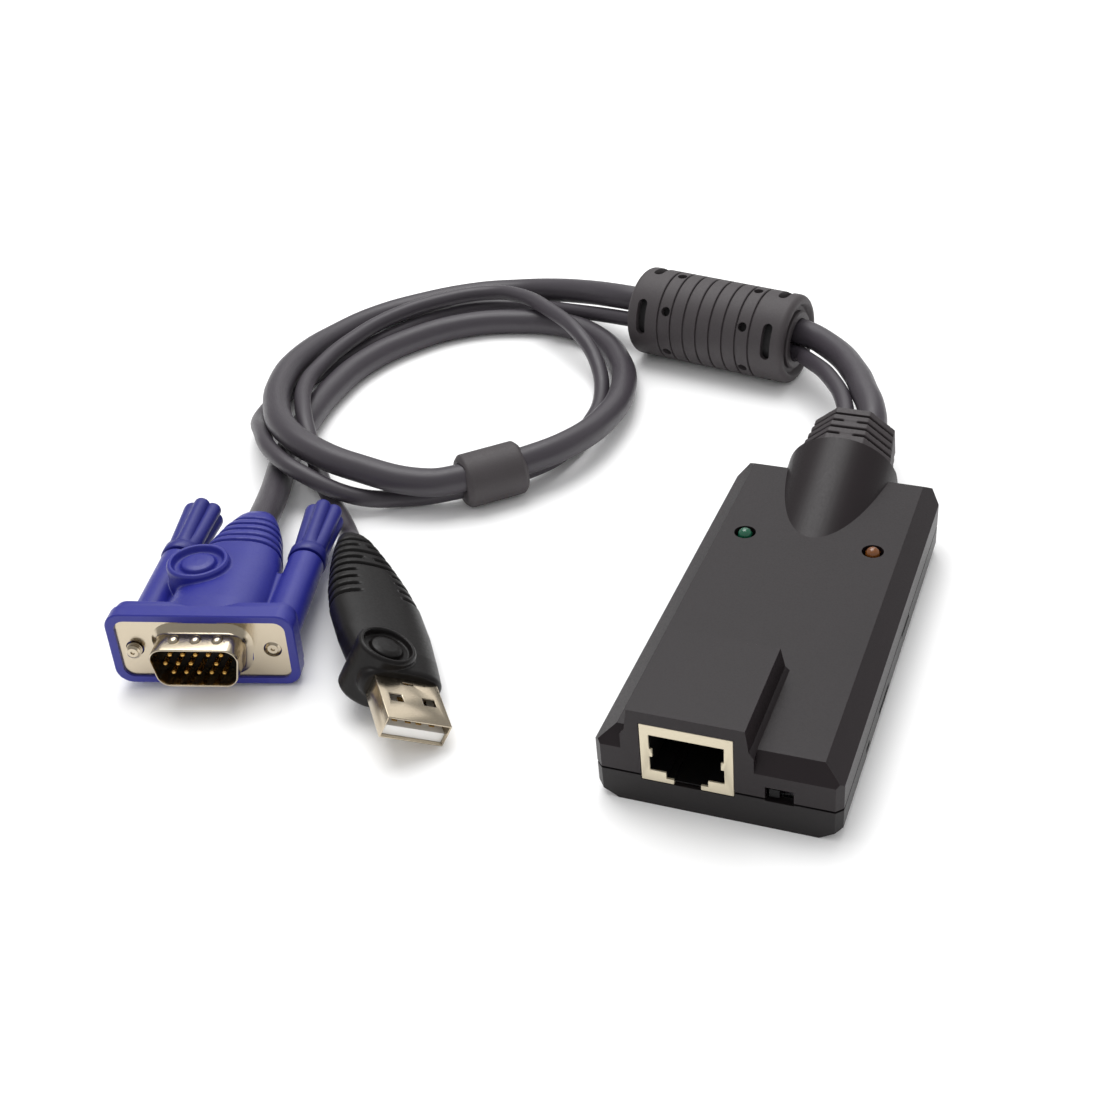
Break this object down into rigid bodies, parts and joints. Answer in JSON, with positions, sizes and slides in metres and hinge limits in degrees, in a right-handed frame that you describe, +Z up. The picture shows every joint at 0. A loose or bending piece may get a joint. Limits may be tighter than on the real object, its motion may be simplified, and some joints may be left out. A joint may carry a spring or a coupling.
{
  "type": "usb vga kvm adapter",
  "caption": "Console adapter: small snap-fit casing with a network jack, slide switch and lights, two cables through a ferrite bead, a VGA plug with thumbscrews and a USB plug.",
  "frame": {"origin": "middle of the casing's footprint, on the surface that the casing and the cables lie on", "axes": "+Z up, -Y out of the network jack at the casing's front, +Y towards the cables, +X to the right seen from the front"},
  "size_m": [0.1671, 0.1784, 0.022],
  "materials": {
    "casing_top": "charcoal ABS with a fine moulded texture",
    "casing_bottom": "darker charcoal ABS with a fine moulded texture",
    "relief": "soft dark grey PVC",
    "jacket": "dark grey PVC cable jacket",
    "bead_cover": "soft dark grey PVC moulding",
    "ferrite": "sintered ferrite",
    "hood_blue": "blue PVC with a satin skin",
    "grip_black": "black PVC with a satin skin",
    "nickel": "nickel-plated steel",
    "gold": "gold-plated contact",
    "jack_black": "black moulded insert",
    "tongue_white": "white moulded tongue",
    "board": "green solder mask",
    "chip": "black epoxy chip",
    "can": "drawn metal can",
    "header": "ivory nylon header",
    "switch_case": "stamped steel switch case",
    "switch_nub": "black moulded slider",
    "green_lens": "tinted epoxy lens",
    "amber_lens": "tinted epoxy lens"
  },
  "bodies": {
    "adapter": {"top_cover": "casing_top", "bottom_cover": "casing_bottom", "strain_relief": "relief", "circuit_board": "board", "rj45_shield": "nickel", "rj45_insert": "jack_black", "rj45_contacts": "gold", "green_light": "green_lens", "amber_light": "amber_lens", "switch_body": "switch_case", "video_chip": "chip", "controller_chip": "chip", "crystal": "can", "capacitors": "can", "vga_header": "header", "usb_header": "header", "vga_inner_lead": "jacket", "usb_inner_lead": "jacket", "vga_cable": "jacket", "usb_cable": "jacket", "ferrite_cover": "bead_cover", "ferrite_core": "ferrite", "cable_sleeve": "bead_cover", "vga_hood": "hood_blue", "vga_shell": "nickel", "vga_insulator": "jack_black", "vga_pins": "nickel", "usb_grip": "grip_black", "usb_shell": "nickel", "usb_tongue": "tongue_white", "usb_contacts": "gold"},
    "left_thumbscrew": {"left_knob": "hood_blue", "left_screw": "nickel"},
    "right_thumbscrew": {"right_knob": "hood_blue", "right_screw": "nickel"},
    "slide_switch": {"switch_slider": "switch_nub"}
  },
  "joints": [
    {"name": "left_thumbscrew_turn", "type": "hinge", "parent": "adapter", "child": "left_thumbscrew", "pos_m": [-0.12073, -0.01294, 0.00851], "axis": [-0.3006, 0.9534, -0.0262], "continuous": true},
    {"name": "right_thumbscrew_turn", "type": "hinge", "parent": "adapter", "child": "right_thumbscrew", "pos_m": [-0.0969, -0.00546, 0.00742], "axis": [-0.3006, 0.9534, -0.0262], "continuous": true},
    {"name": "switch_slide", "type": "slide", "parent": "adapter", "child": "slide_switch", "axis": [1, 0, 0], "range_m": [0, 0.002]}
  ]
}
